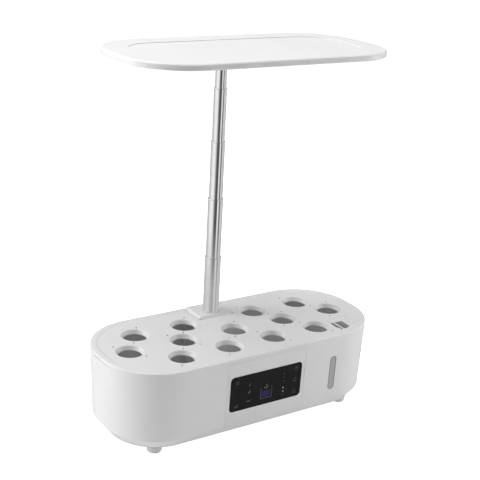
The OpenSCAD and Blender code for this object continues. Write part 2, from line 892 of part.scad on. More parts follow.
module power_inlet() {
  y = back_y(inlet_z);
  face = inlet_flange_gap + inlet_flange_t;
  pin_r = 1;
  pin_low = -9.5;
  color(black)
    translate([inlet_x, y, inlet_z])
      rotate([-90, 0, 0])
        rotate_extrude($fn = 48) {
          // flange outside, threaded barrel through the wall, closed end inside
          polygon([
            [inlet_bore, pin_low + 0.5], [inlet_bore, face], [inlet_flange_r - 0.5, face],
            [inlet_flange_r, face - 0.5], [inlet_flange_r, inlet_flange_gap],
            [inlet_r, inlet_flange_gap], [inlet_r, -inlet_deep], [0, -inlet_deep], [0, pin_low + 0.5]
          ]);
          polygon([[0, pin_low], [0, 0.4], [pin_r - 0.4, 1], [pin_r, 0.4], [pin_r, pin_low]]);
        }
}

module inlet_nut() {
  y = back_y(inlet_z);
  color(steel)
    translate([inlet_x, y - wall_t - inlet_flange_gap, inlet_z])
      rotate([90, 0, 0])
        difference() {
          cylinder(r = inlet_nut_r, h = inlet_nut_t, $fn = 6);
          translate([0, 0, -over])
            cylinder(r = inlet_r + thread_gap, h = inlet_nut_t + 2 * over, $fn = 48);
        }
}

// ---------- underside ----------

module bottom_cover_2d() {
  corner = 5;
  y0 = duct_open_y - corner - over;
  y1 = tower_back_y + 0.4;
  half = duct_screw_x + corner;
  wide = tower_half + tower_screw_out + corner - 0.5;
  translate([0, (y0 + mount_y + 2 * corner) / 2]) round_rect(2 * half, mount_y - y0 + 2 * corner, corner);
  translate([0, (mount_y + y1) / 2]) round_rect(2 * wide, y1 - mount_y, corner);
}

module bottom_cover() {
  color(shade_white)
    translate([0, 0, under_z - cover_plate_t])
      difference() {
        linear_extrude(cover_plate_t) bottom_cover_2d();
        for (p = base_screw_places)
          translate([p[0], p[1], -over])
            cylinder(r = plate_screw_hole, h = cover_plate_t + 2 * over, $fn = 24);
      }
}

module base_screws() {
  color(steel)
    for (p = base_screw_places)
      translate([p[0], p[1], under_z - cover_plate_t - plate_screw_head_h]) plate_screw(plate_screw_l);
}

module foot(sx, sy) {
  r = foot_d / 2;
  color(white)
    translate([sx * foot_x, sy * foot_y, 0])
      rotate_extrude($fn = 64)
        polygon(concat(
          [[0, 0]],
          arc(r - foot_sole_in, foot_sole_r, foot_sole_r, -90, -20),
          [[r - 0.6, under_z - 1.2], [r - 1.2, under_z], [foot_plug_r, under_z]],
          [[foot_plug_r, under_z + foot_plug_h], [0, under_z + foot_plug_h]]
        ));
}

module foot_front_left() foot(-1, -1);
module foot_front_right() foot(1, -1);
module foot_back_left() foot(-1, 1);
module foot_back_right() foot(1, 1);

// ---------- pump ----------

// Local frame of the pump: x along its shaft, from the strainer end inwards
module in_pump() {
  translate([pump_end_x, pump_y, pump_axis_z]) rotate([90, 0, 90]) children();
}

module pump_2d() {
  translate([0, pump_h / 2 - pump_drop]) round_rect(pump_w, pump_h, pump_r);
}

module pump_body() {
  top = pump_low + pump_h;
  barb_h = 1.6;
  color(black)
    difference() {
      union() {
        in_pump() linear_extrude(pump_len) pump_2d();
        translate([pump_end_x + outlet_in, pump_y, top - over])
          cylinder(r = outlet_r, h = outlet_l + over, $fn = 32);
        translate([pump_end_x + outlet_in, pump_y, top + outlet_l - 2 * barb_h])
          cylinder(r = outlet_r + 0.6, h = barb_h, $fn = 32);
      }
      in_pump() {
        translate([0, 0, -over]) cylinder(r = chamber_r, h = chamber_l + over, $fn = 64);
        cylinder(r = rotor_r + rotor_gap, h = chamber_l + rotor_l + 1, $fn = 48);
        cylinder(r = shaft_r + thread_gap, h = chamber_l + rotor_l + 6, $fn = 24);
      }
      translate([pump_end_x + outlet_in, pump_y, pump_axis_z + 6])
        cylinder(r = outlet_bore, h = pump_h + outlet_l, $fn = 32);
    }
}

module pump_strainer() {
  slot_w = 1.8;
  slot_l = 16;
  slot_pitch = 3.4;
  color(black)
    difference() {
      in_pump() translate([0, 0, -strainer_t]) linear_extrude(strainer_t) pump_2d();
      in_pump() translate([0, 0, -1.6]) cylinder(r = shaft_r + thread_gap, h = 2, $fn = 24);
      for (i = [-3:3])
        if (i != 0)
          in_pump()
            translate([slot_pitch * i - slot_w / 2, -slot_l / 2, -strainer_t - over])
              cube([slot_w, slot_l, strainer_t + 2 * over]);
    }
}

module pump_cups() {
  color(rubber_grey)
    for (sx = [-1, 1], sy = [-1, 1])
      translate([pump_x + sx * 13, pump_y + sy * 9, floor_z])
        rotate_extrude($fn = 32)
          polygon([[0, 0.9], [3.6, 0.4], [5, 0], [5.2, 0.3], [3, 1.7], [3, cup_h], [0, cup_h]]);
}

module impeller_shaft() {
  color(steel)
    in_pump() translate([0, 0, -1.4]) cylinder(r = shaft_r, h = chamber_l + rotor_l + 7, $fn = 24);
}

module impeller() {
  vane_t = 1.2;
  vane_l = 6.5;
  color(shade_white)
    in_pump()
      difference() {
        union() {
          translate([0, 0, 1]) cylinder(r = 3, h = vane_l + 1, $fn = 32);
          translate([0, 0, vane_l + 1]) cylinder(r = impeller_d / 2, h = 1.4, $fn = 64);
          translate([0, 0, vane_l + 2]) cylinder(r = rotor_r, h = rotor_l, $fn = 48);
          for (i = [0:5])
            rotate([0, 0, 60 * i])
              translate([2, -vane_t / 2, 1]) cube([impeller_d / 2 - 2, vane_t, vane_l + 0.5]);
        }
        translate([0, 0, -over]) cylinder(r = shaft_r + run_gap, h = vane_l + rotor_l + 3 * over, $fn = 24);
      }
}

// ---------- level float ----------

module float_stem() {
  color(shade_white)
    translate([window_x, float_y, floor_z]) {
      cylinder(d = stem_d, h = stem_top - floor_z, $fn = 32);
      translate([0, 0, stem_top - floor_z - 2]) cylinder(d = stem_d + 2.4, h = 2, $fn = 32);
    }
}

module level_float() {
  r = float_d / 2;
  color([0.85, 0.35, 0.15])
    translate([window_x, float_y, float_seat_z])
      rotate_extrude($fn = 48)
        polygon([
          [stem_d / 2 + float_gap, 0], [r - 1, 0], [r, 1], [r, float_h - 1], [r - 1, float_h],
          [stem_d / 2 + float_gap, float_h]
        ]);
}

// ---------- post ----------

module post_mount() {
  back = base_dep / 2;
  boss_h = seam_z - ledge_z - ledge_t;
  color(white)
    difference() {
      union() {
        intersection() {
          rotate([90, 0, 0])
            translate([0, 0, -back])
              linear_extrude(back - mount_y)
                polygon([
                  [-tower_half, seam_z], [-tower_half, mount_top - mount_chamfer],
                  [-tower_half + mount_chamfer, mount_top], [tower_half - mount_chamfer, mount_top],
                  [tower_half, mount_top - mount_chamfer], [tower_half, seam_z]
                ]);
          rotate([90, 0, 90])
            translate([0, 0, -tower_half])
              linear_extrude(mount_w)
                polygon(concat(
                  [[mount_y, seam_z], [mount_y, mount_top - mount_chamfer]],
                  [[mount_y + mount_chamfer, mount_top]],
                  arc(back - rim_round, mount_top - rim_round, rim_round, 90, 0),
                  [[back, seam_z]]
                ));
          translate([0, (mount_y + back + 10) / 2, 0])
            linear_extrude(mount_top + 5) round_rect(mount_w, back + 10 - mount_y, 6);
        }
        translate([0, post_y, tube_1_foot - socket_floor_t])
          cylinder(r = socket_r + socket_t, h = seam_z - tube_1_foot + socket_floor_t + over, $fn = 64);
        for (p = mount_screw_places)
          translate([p[0], p[1], ledge_z + ledge_t]) cylinder(r = boss_r, h = boss_h + over, $fn = 32);
      }
      translate([0, post_y, tube_1_foot]) cylinder(r = socket_r, h = mount_top - tube_1_foot + over, $fn = 96);
      translate([0, post_y, tube_1_foot - socket_floor_t - over])
        cylinder(r = socket_r - socket_ledge, h = socket_floor_t + 2 * over, $fn = 64);
      translate([0, post_y, mount_top - socket_ease])
        cylinder(r1 = socket_r, r2 = socket_r + socket_ease + over, h = socket_ease + over, $fn = 96);
      for (p = mount_screw_places)
        translate([p[0], p[1], ledge_z])
          cylinder(r = plate_screw_r + thread_gap, h = ledge_t + boss_h + over, $fn = 24);
    }
}

module mount_screws() {
  color(steel)
    for (p = mount_screw_places)
      translate([p[0], p[1], ledge_z - plate_screw_head_h]) plate_screw(mount_screw_l);
}

// A tube with its inward lip and eased top edge
module tube(i) {
  r = tube_r(i);
  foot = tube_foot(i);
  top = tube_top(i);
  inner = r - tube_t;
  neck = i < 5 ? tube_r(i + 1) + run_gap : inner;
  ease = 0.25;
  color(chrome)
    translate([0, post_y, 0])
      rotate_extrude($fn = 96)
        polygon([
          [inner, foot], [r, foot], [r, top - ease], [r - ease, top],
          [neck + 0.05, top], [neck, top - 0.1], [neck, top - lip_h], [inner, top - lip_h]
        ]);
}

module post_tube_1() tube(1);
module post_tube_2() tube(2);
module post_tube_3() tube(3);
module post_tube_4() tube(4);
module post_tube_5() tube(5);

// Guide bush at a sliding tube's foot: it runs in the tube below and plugs into its own
module bush(i) {
  foot = tube_foot(i);
  out = tube_r(i - 1) - tube_t - run_gap;
  plug = tube_r(i) - tube_t - bush_gap;
  bore = plug - 1.2;
  color(black)
    translate([0, post_y, 0])
      rotate_extrude($fn = 96)
        polygon([
          [bore, foot - bush_h], [out - 0.5, foot - bush_h], [out, foot - bush_h + 0.5], [out, foot],
          [plug, foot], [plug, foot + spigot_h - 0.3], [plug - 0.3, foot + spigot_h], [bore, foot + spigot_h]
        ]);
}

module tube_bush_2() bush(2);
module tube_bush_3() bush(3);
module tube_bush_4() bush(4);
module tube_bush_5() bush(5);

// ---------- lamp ----------

// Turned piece in the top tube that carries the lamp and lets it turn
module lamp_pivot() {
  r = tube_r(5);
  top = tube_top(5);
  plug = r - tube_t - bush_gap;
  flange_low = lamp_low + hub_t + 0.1;
  color(steel)
    translate([0, post_y, 0])
      rotate_extrude($fn = 64)
        polygon([
          [3, top - 14], [plug - 0.4, top - 14], [plug, top - 13.4], [plug, top], [r, top], [r, top + 0.1],
          [pivot_r, top + 0.1], [pivot_r, flange_low], [pivot_flange_r, flange_low],
          [pivot_flange_r, flange_low + pivot_flange_t], [3, flange_low + pivot_flange_t]
        ]);
}

module lamp_hub() {
  color(shade_white)
    translate([0, post_y, lamp_low])
      difference() {
        cylinder(r = hub_r, h = hub_t, $fn = 64);
        translate([0, 0, -1]) cylinder(r = pivot_r + run_gap, h = hub_t + 2, $fn = 64);
        for (i = [0:2])
          rotate([0, 0, 120 * i + 90])
            translate([hub_screw_r, 0, -over]) {
              cylinder(r = small_screw_hole, h = hub_t + 2 * over, $fn = 24);
              cylinder(r = small_screw_head_r + 0.2, h = over + hub_sink, $fn = 32);
            }
      }
}

module hub_screws() {
  color(steel)
    translate([0, post_y, lamp_low + hub_sink - small_screw_head_h])
      for (i = [0:2])
        rotate([0, 0, 120 * i + 90])
          translate([hub_screw_r, 0, 0]) small_screw();
}

module lamp_profile() {
  high = lamp_top;
  polygon(concat(
    [[lamp_r - lamp_skirt_t, lamp_low], [lamp_r - 0.6, lamp_low], [lamp_r, lamp_low + 0.6]],
    arc(lamp_r - lamp_round, high - lamp_round, lamp_round, 0, 90),
    [[0, high], [0, plate_low], [lamp_r - lamp_skirt_t, plate_low]]
  ));
}

module lamp_cover() {
  color(white)
    difference() {
      union() {
        plan_sweep(lamp_len, lamp_dep, lamp_r) lamp_profile();
        plan_core(lamp_len, lamp_dep, lamp_r, plate_low, lamp_top);
        for (p = lamp_screw_places)
          translate([p[0], p[1], lamp_low + tray_t])
            cylinder(r = lamp_boss_r, h = plate_low - lamp_low - tray_t + over / 2, $fn = 32);
        translate([0, post_y, lamp_low + hub_t])
          for (i = [0:2])
            rotate([0, 0, 120 * i + 90])
              translate([hub_screw_r, 0, 0])
                cylinder(r = small_screw_r + 1.4, h = plate_low - lamp_low - hub_t + over / 2, $fn = 32);
      }
      translate([0, 0, lamp_top - recess_h])
        linear_extrude(recess_h + over) round_rect(recess_len, recess_dep, recess_dep / 2 - 8);
      for (p = lamp_screw_places)
        translate([p[0], p[1], lamp_low])
          cylinder(r = small_screw_r + thread_gap, h = lamp_h - lamp_skin, $fn = 24);
      translate([0, post_y, lamp_low])
        for (i = [0:2])
          rotate([0, 0, 120 * i + 90])
            translate([hub_screw_r, 0, 0])
              cylinder(r = small_screw_r + thread_gap, h = lamp_h - lamp_skin, $fn = 24);
    }
}

module lamp_tray() {
  len = lamp_len - 2 * tray_edge;
  dep = lamp_dep - 2 * tray_edge;
  color(shade_white)
    translate([0, 0, lamp_low])
      difference() {
        linear_extrude(tray_t) round_rect(len, dep, lamp_r - tray_edge);
        translate([0, light_y, -1])
          linear_extrude(tray_t + 2) round_rect(light_len, light_dep, light_r);
        translate([0, post_y, -1]) cylinder(r = hub_r + tray_gap, h = tray_t + 2, $fn = 64);
        for (p = lamp_screw_places)
          translate([p[0], p[1], -1]) cylinder(r = small_screw_hole, h = tray_t + 2, $fn = 24);
      }
}

module lamp_diffuser() {
  color([0.93, 0.93, 0.95, 0.6])
    translate([0, light_y, lamp_low]) {
      translate([0, 0, diffuser_step])
        linear_extrude(tray_t - diffuser_step)
          round_rect(light_len - 2 * diffuser_gap, light_dep - 2 * diffuser_gap, light_r - diffuser_gap);
      translate([0, 0, tray_t])
        linear_extrude(diffuser_t)
          round_rect(light_len + 2 * diffuser_lip, light_dep + 2 * diffuser_lip, light_r + diffuser_lip);
    }
}

module led_board() {
  color(white)
    translate([0, light_y, lamp_board_low])
      linear_extrude(board_t) round_rect(board_len, board_dep, board_r);
}

module led_chips() {
  margin = 12;
  pitch_x = (board_len - 2 * margin) / (chip_cols - 1);
  pitch_y = (board_dep - 2 * margin) / (chip_rows - 1);
  color([0.95, 0.88, 0.45])
    translate([0, light_y, lamp_board_low - chip_h])
      for (i = [0:chip_cols - 1], j = [0:chip_rows - 1])
        translate([(i - (chip_cols - 1) / 2) * pitch_x, (j - (chip_rows - 1) / 2) * pitch_y, chip_h / 2])
          cube([chip, chip, chip_h], center = true);
}

module lamp_screws() {
  color(steel)
    for (p = lamp_screw_places)
      translate([p[0], p[1], lamp_low - small_screw_head_h]) small_screw();
}

tank();
deck();
control_cover();
display_glass();
light_guide();
control_board();
board_screws();
window_lens();
window_seal();
power_inlet();
inlet_nut();
bottom_cover();
base_screws();
foot_front_left();
foot_front_right();
foot_back_left();
foot_back_right();
pump_body();
pump_strainer();
pump_cups();
impeller();
impeller_shaft();
float_stem();
level_float();
post_mount();
mount_screws();
post_tube_1();
post_tube_2();
post_tube_3();
post_tube_4();
post_tube_5();
tube_bush_2();
tube_bush_3();
tube_bush_4();
tube_bush_5();
lamp_pivot();
lamp_hub();
hub_screws();
lamp_cover();
lamp_tray();
lamp_diffuser();
led_board();
led_chips();
lamp_screws();
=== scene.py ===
import math

import bmesh
import bpy
from mathutils import Matrix, Vector


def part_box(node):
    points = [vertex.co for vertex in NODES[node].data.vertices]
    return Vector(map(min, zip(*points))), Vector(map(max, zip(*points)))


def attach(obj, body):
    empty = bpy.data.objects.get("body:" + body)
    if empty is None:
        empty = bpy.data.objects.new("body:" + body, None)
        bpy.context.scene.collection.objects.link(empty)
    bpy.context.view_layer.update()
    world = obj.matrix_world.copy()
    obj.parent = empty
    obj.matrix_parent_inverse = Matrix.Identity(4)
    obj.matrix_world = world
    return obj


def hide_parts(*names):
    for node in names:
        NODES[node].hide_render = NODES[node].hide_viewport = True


# Looks of a countertop hydroponic garden. Metres, in the part's own frame: X runs along the
# tank, -Y is the display side, +Z is up, and the origin lies on the table.

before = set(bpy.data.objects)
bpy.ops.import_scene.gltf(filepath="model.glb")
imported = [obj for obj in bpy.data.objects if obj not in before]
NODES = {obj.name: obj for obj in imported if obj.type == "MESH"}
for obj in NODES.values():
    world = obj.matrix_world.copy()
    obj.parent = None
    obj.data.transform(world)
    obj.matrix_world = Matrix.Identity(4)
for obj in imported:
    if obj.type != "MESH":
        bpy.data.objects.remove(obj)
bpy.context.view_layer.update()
MM = 0.001

# -------------------------------- camera
CAMERA_PLACE = Vector((-0.7069, -1.0650, 0.6915))
CAMERA_AZIMUTH = math.radians(33.69)
CAMERA_DOWN = math.radians(19.23)
CAMERA_ROLL = math.radians(3.08)
CAMERA_LENS = 77.15
CAMERA_SENSOR = 36.0
CAMERA_CLIP = 0.05

# -------------------------------- soft boxes: place, aim, size, watts
LIGHTS = {
    "left": ((-1.7, 0.1, 0.55), (-0.1, 0, 0.12), (0.8, 0.9), 0.95),
    "left_back": ((-1.5, 0.8, 0.55), (-0.1, 0, 0.12), (0.8, 0.9), 15.1),
    "top": ((0, 0, 2.0), (0, 0, 0.2), (2.0, 2.0), 35.5),
    "top_left": ((-1.1, 0.2, 1.8), (0, 0, 0.2), (1.0, 1.0), 8.3),
    "right_front": ((0.78, -0.38, 0.34), (0.17, -0.05, 0.08), (0.35, 0.5), 2.9),
    "inside": ((0, -0.01, 0.106), (0, -0.01, 0), (0.34, 0.09), 0.022),
}

# -------------------------------- floor and room: half size, brightness by ray
FLOOR_HALF = 9.0
FLOOR_GLOW = 0.19
FLOOR_GLOW_SEEN = 1.0
FLOOR_GLOSS = 0.2
ROOM_SEEN = 1.0
ROOM_GLOSS = 0.3

# -------------------------------- screen round the post, for reflections only
# It gives the bright post its streaks, and it follows the tubes at SCREEN_CLEAR times their radius.
SCREEN_TURN = math.radians(-122.1)
SCREEN_CLEAR = 1.25
SCREEN_LOW = 0.119
SCREEN_HIGH = 0.489
SCREEN_STEPS = 96

# The cards on it that the camera sees mirrored in the post: left edge, right edge and brightness.
# An edge is a place across the post, 0 at its left and 1 at its right, and between two cards the one
# fades into the other.
LEFT_GREY = (0.05, 0.10, 0.6)
WIDE_WHITE = (0.20, 0.33, 1.0)
WIDE_BLACK = (0.48, 0.61, 0.1)
THIN_WHITE = (0.64, 0.70, 0.9)
THIN_BLACK = (0.74, 0.78, 0.15)
RIGHT_GREY = (0.82, 0.92, 0.65)
SEEN_CARDS = (LEFT_GREY, WIDE_WHITE, WIDE_BLACK, THIN_WHITE, THIN_BLACK, RIGHT_GREY)

# Below the height CARDS_DULL they are dulled with grey, as by light from the deck, and above
# CARDS_CLEAR they aren't.
CARDS_DULL = 0.16
CARDS_CLEAR = 0.25
DULL_GREY = 0.6
DULL_SHARE = 0.7

# The rest of the screen, for the sides that the camera hardly sees: share of a full turn, brightness.
SCREEN_SIDES = [
    (0.00, 0.25), (0.04, 0.95), (0.07, 0.90), (0.10, 0.20), (0.14, 0.50), (0.17, 0.95), (0.20, 0.30),
    (0.24, 0.65), (0.75, 0.35), (0.79, 0.95), (0.83, 0.30), (0.89, 0.75), (0.93, 0.15), (0.97, 0.50),
    (1.00, 0.25),
]

# -------------------------------- post: its axis, and the beads at the tube tops
POST_Y = 60 * MM
BEAD_PROUD = 0.45 * MM
BEAD_HIGH = 1.7 * MM
BEAD_SUNK = 0.05 * MM
BEAD_ARC_STEPS = 8
BEAD_ROUND_STEPS = 96

# -------------------------------- screws: places as in the part
DUCT_SCREW_X = 16 * MM
DUCT_SCREW_YS = (-55 * MM, -7.5 * MM)
TOWER_SCREW_X = 30.5 * MM
TOWER_SCREW_YS = (49 * MM, 67 * MM)
BASE_SCREWS = [
    (side * x, y)
    for side in (-1, 1)
    for x, ys in ((DUCT_SCREW_X, DUCT_SCREW_YS), (TOWER_SCREW_X, TOWER_SCREW_YS))
    for y in ys
]
LAMP_SCREW_X = 120 * MM
LAMP_SCREW_MID_X = 42 * MM
LAMP_SCREW_Y = 83.3 * MM
LAMP_SCREWS = [(sx * LAMP_SCREW_X, sy * LAMP_SCREW_Y) for sx in (-1, 1) for sy in (-1, 1)]
LAMP_SCREWS += [(s * LAMP_SCREW_MID_X, s * LAMP_SCREW_Y) for s in (-1, 1)]
HUB_SCREW_RING = 12.6 * MM
HUB_SCREWS = [
    (HUB_SCREW_RING * math.cos(a), POST_Y + HUB_SCREW_RING * math.sin(a))
    for a in (math.radians(120 * i + 90) for i in range(3))
]

# Head radius, head height and shank radius
LARGE_SCREW = (2.9 * MM, 1.8 * MM, 1.28 * MM)
SMALL_SCREW = (2.2 * MM, 1.2 * MM, 0.98 * MM)
SCREW_STEPS = 32

# -------------------------------- lamp chips: grid as in the part, round well, drop of phosphor
CHIP_COLS, CHIP_ROWS = 16, 5
CHIP = 3.2 * MM
WELL_R = 1.25 * MM
WELL_DEEP = 0.3 * MM
WELL_TAPER = 0.8
WELL_STEPS = 16
DROP_CLEAR = 0.02 * MM
DROP_STEPS = 20

# -------------------------------- glass face of the display
GLASS_LOW, GLASS_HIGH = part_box("display_glass")
GLASS_W = GLASS_HIGH.x - GLASS_LOW.x
GLASS_H = GLASS_HIGH.z - GLASS_LOW.z
WALL_IN = 3.0 * MM  # how far the tank's front wall comes in on its way down
WALL_HIGH = 90.1 * MM
GLASS_LEAN = math.atan(WALL_IN / WALL_HIGH)

# -------------------------------- signs: line widths, and places on the glass
# A place is a share of the glass's width from its left edge and of its height from its top edge.
ICON_PROUD = 0.04 * MM
ICON_THICK = 0.06 * MM
FINE_LINE = 0.45 * MM
SIGN_LINE = 0.5 * MM
BAR_LINE = 0.8 * MM
MITRE_LEAST = 0.4
ARC_STEPS = 28
CIRCLE_STEPS = 20
SUN = (0.09, 0.17)
BARS = (0.085, 0.84)
CLOCK = (0.92, 0.16)
DROP = (0.91, 0.48)
SWITCH = (0.91, 0.84)
THERMOMETER = (0.262, 0.30)
THERMOMETER_BULB = (0.26, 0.335)
LEAF = (0.26, 0.53)
FAN = (0.258, 0.79)
ROOT = (0.499, 0.56)
LEVEL_COLUMN = 0.745
LEVELS_OFF = (0.23, 0.34, 0.46, 0.86)
LEVELS_LIT = (0.65, 0.76)

# -------------------------------- water window: sunk a little under the glass
WINDOW_Z = 64.9 * MM
WINDOW_W = 10 * MM
WINDOW_H = 50 * MM
WINDOW_LINE = 0.8 * MM
WINDOW_SUNK = 0.51 * MM
WINDOW_ARC_STEPS = 16


# ================================ materials
class Look:
    """A material's node tree, with short calls for the nodes used here."""

    def __init__(self, name):
        self.material = bpy.data.materials.new(name)
        self.material.use_nodes = True
        self.tree = self.material.node_tree
        self.shader = self.tree.nodes["Principled BSDF"]
        self.place = self.add("ShaderNodeTexCoord").outputs["Object"]

    def add(self, kind, **settings):
        node = self.tree.nodes.new(kind)
        for key, value in settings.items():
            setattr(node, key, value)
        return node

    def link(self, source, target):
        self.tree.links.new(source, target)

    def set(self, **values):
        for key, value in values.items():
            socket = self.shader.inputs[key.replace("_", " ")]
            socket.default_value = (*value, 1.0) if isinstance(value, tuple) else value

    def stretched(self, scale):
        """The object's own coordinates, scaled apart along each axis."""
        node = self.add("ShaderNodeMapping")
        node.inputs["Scale"].default_value = scale
        self.link(self.place, node.inputs["Vector"])
        return node.outputs["Vector"]

    def noise(self, size, detail=2.0, rough=0.5, scale=(1, 1, 1)):
        """Noise whose blobs measure about size metres."""
        node = self.add("ShaderNodeTexNoise")
        node.inputs["Scale"].default_value = 1.0 / size
        node.inputs["Detail"].default_value = detail
        node.inputs["Roughness"].default_value = rough
        self.link(self.stretched(scale), node.inputs["Vector"])
        return node.outputs["Fac"]

    def spread(self, source, low, high, start=0.3, end=0.7):
        """Maps a factor onto a range of numbers."""
        node = self.add("ShaderNodeMapRange")
        node.inputs["From Min"].default_value = start
        node.inputs["From Max"].default_value = end
        node.inputs["To Min"].default_value = low
        node.inputs["To Max"].default_value = high
        self.link(source, node.inputs["Value"])
        return node.outputs["Result"]

    def colours(self, source, stops):
        """Maps a factor onto a ramp of colours."""
        node = self.add("ShaderNodeValToRGB")
        ramp = node.color_ramp
        while len(ramp.elements) < len(stops):
            ramp.elements.new(0.5)
        for element, (place, colour) in zip(ramp.elements, stops):
            element.position = place
            element.color = (*colour, 1.0)
        self.link(source, node.inputs["Fac"])
        return node.outputs["Color"]

    def bump(self, source, height, strength, under=None):
        """Adds relief, height in metres; under is relief that it lies on."""
        node = self.add("ShaderNodeBump")
        node.inputs["Strength"].default_value = strength
        node.inputs["Distance"].default_value = height
        self.link(source, node.inputs["Height"])
        if under is not None:
            self.link(under, node.inputs["Normal"])
        self.link(node.outputs["Normal"], self.shader.inputs["Normal"])
        return node.outputs["Normal"]


def moulded(name, colour, rough, grain=0.35 * MM, tint=0.012):
    """Matt moulded plastic: spark-eroded grain, a slow change of tone, and patches of polish."""
    look = Look(name)
    tone = look.noise(55 * MM, detail=3.0)
    dark = tuple(c * (1 - tint) for c in colour)
    light = tuple(min(1.0, c * (1 + tint)) for c in colour)
    look.link(look.colours(tone, [(0.35, dark), (0.65, light)]), look.shader.inputs["Base Color"])
    patch = look.noise(18 * MM, detail=4.0, rough=0.6)
    look.link(look.spread(patch, rough - 0.05, rough + 0.06), look.shader.inputs["Roughness"])
    flow = look.bump(look.noise(30 * MM, detail=1.0), 0.05 * MM, 0.25)
    look.bump(look.noise(grain, rough=0.6), 0.006 * MM, 0.6, under=flow)
    look.set(IOR=1.48)
    return look.material


def bright_metal(name, bright, rough):
    """Drawn and polished tube: fine lines along it, faint rings of polish, and a few smudges."""
    look = Look(name)
    smudge = look.noise(14 * MM, detail=5.0, rough=0.65)
    dull = tuple(c * bright for c in (0.80, 0.80, 0.81))
    clean = tuple(c * bright for c in (0.86, 0.86, 0.87))
    tone = look.colours(smudge, [(0.3, dull), (0.7, clean)])
    look.link(tone, look.shader.inputs["Base Color"])
    look.link(look.spread(smudge, rough, rough + 0.06), look.shader.inputs["Roughness"])
    drawn = look.noise(0.5 * MM, detail=3.0, scale=(1, 1, 0.012))
    lines = look.bump(drawn, 0.002 * MM, 0.35)
    rings = look.noise(0.4 * MM, scale=(0.02, 0.02, 1))
    look.bump(rings, 0.001 * MM, 0.25, under=lines)
    look.set(Metallic=1.0)
    return look.material


def plain_steel():
    """Zinc plated screws: dull bright metal with a mottled plating."""
    look = Look("plated_steel")
    mottle = look.noise(0.8 * MM, detail=4.0, rough=0.7)
    tone = look.colours(mottle, [(0.3, (0.50, 0.50, 0.51)), (0.7, (0.66, 0.66, 0.67))])
    look.link(tone, look.shader.inputs["Base Color"])
    look.link(look.spread(mottle, 0.24, 0.42), look.shader.inputs["Roughness"])
    look.bump(mottle, 0.01 * MM, 0.4)
    look.set(Metallic=1.0)
    return look.material


def dark_glass():
    """Smoked display pane, black printed behind: deep gloss with a trace of dust and wiping."""
    look = Look("dark_glass")
    wipe = look.noise(22 * MM, detail=6.0, rough=0.7, scale=(1, 1, 0.35))
    tone = look.colours(wipe, [(0.3, (0.0075, 0.0075, 0.0085)), (0.8, (0.010, 0.010, 0.011))])
    look.link(tone, look.shader.inputs["Base Color"])
    look.link(look.spread(wipe, 0.03, 0.09), look.shader.inputs["Roughness"])
    look.bump(look.noise(60 * MM, detail=1.0), 0.02 * MM, 0.2)
    look.set(IOR=1.5)
    return look.material


def clear_plastic(name, tint, rough, clear, haze=0.0):
    """Clear or frosted plastic; clear is the share of light that passes through."""
    look = Look(name)
    wipe = look.noise(12 * MM, detail=5.0, rough=0.65)
    light = tuple(min(1.0, c * 1.02) for c in tint)
    look.link(look.colours(wipe, [(0.3, tint), (0.7, light)]), look.shader.inputs["Base Color"])
    look.link(look.spread(wipe, rough, rough + 0.06), look.shader.inputs["Roughness"])
    if haze:
        look.bump(look.noise(0.4 * MM), 0.02 * MM, haze)
    look.set(IOR=1.49, Transmission_Weight=clear)
    return look.material


def board(name, colour, line):
    """Circuit board: lacquer over fine copper runs."""
    look = Look(name)
    cells = look.add("ShaderNodeTexVoronoi", feature="DISTANCE_TO_EDGE", distance="MANHATTAN")
    cells.inputs["Scale"].default_value = 1 / (4.0 * MM)
    look.link(look.place, cells.inputs["Vector"])
    runs = look.colours(cells.outputs["Distance"], [(0.02, line), (0.05, colour)])
    look.link(runs, look.shader.inputs["Base Color"])
    patch = look.noise(6 * MM, detail=3.0)
    look.link(look.spread(patch, 0.28, 0.42), look.shader.inputs["Roughness"])
    look.bump(cells.outputs["Distance"], 0.03 * MM, 0.4)
    return look.material


def rubber():
    """Dark moulded seal rubber."""
    look = Look("seal_rubber")
    bloom = look.noise(5 * MM, detail=4.0, rough=0.7)
    tone = look.colours(bloom, [(0.3, (0.10, 0.10, 0.105)), (0.7, (0.14, 0.14, 0.145))])
    look.link(tone, look.shader.inputs["Base Color"])
    look.link(look.spread(bloom, 0.6, 0.8), look.shader.inputs["Roughness"])
    look.bump(look.noise(0.3 * MM), 0.01 * MM, 0.5)
    return look.material


def printed(name, colour, glow=0.0):
    """Ink or lit mark on the display: slightly uneven tone."""
    look = Look(name)
    wear = look.noise(1.2 * MM, detail=3.0)
    dark = tuple(c * 0.82 for c in colour)
    tone = look.colours(wear, [(0.3, dark), (0.7, colour)])
    look.link(tone, look.shader.inputs["Base Color"])
    look.link(look.spread(wear, 0.35, 0.5), look.shader.inputs["Roughness"])
    if glow:
        look.link(tone, look.shader.inputs["Emission Color"])
        look.set(Emission_Strength=glow)
    return look.material


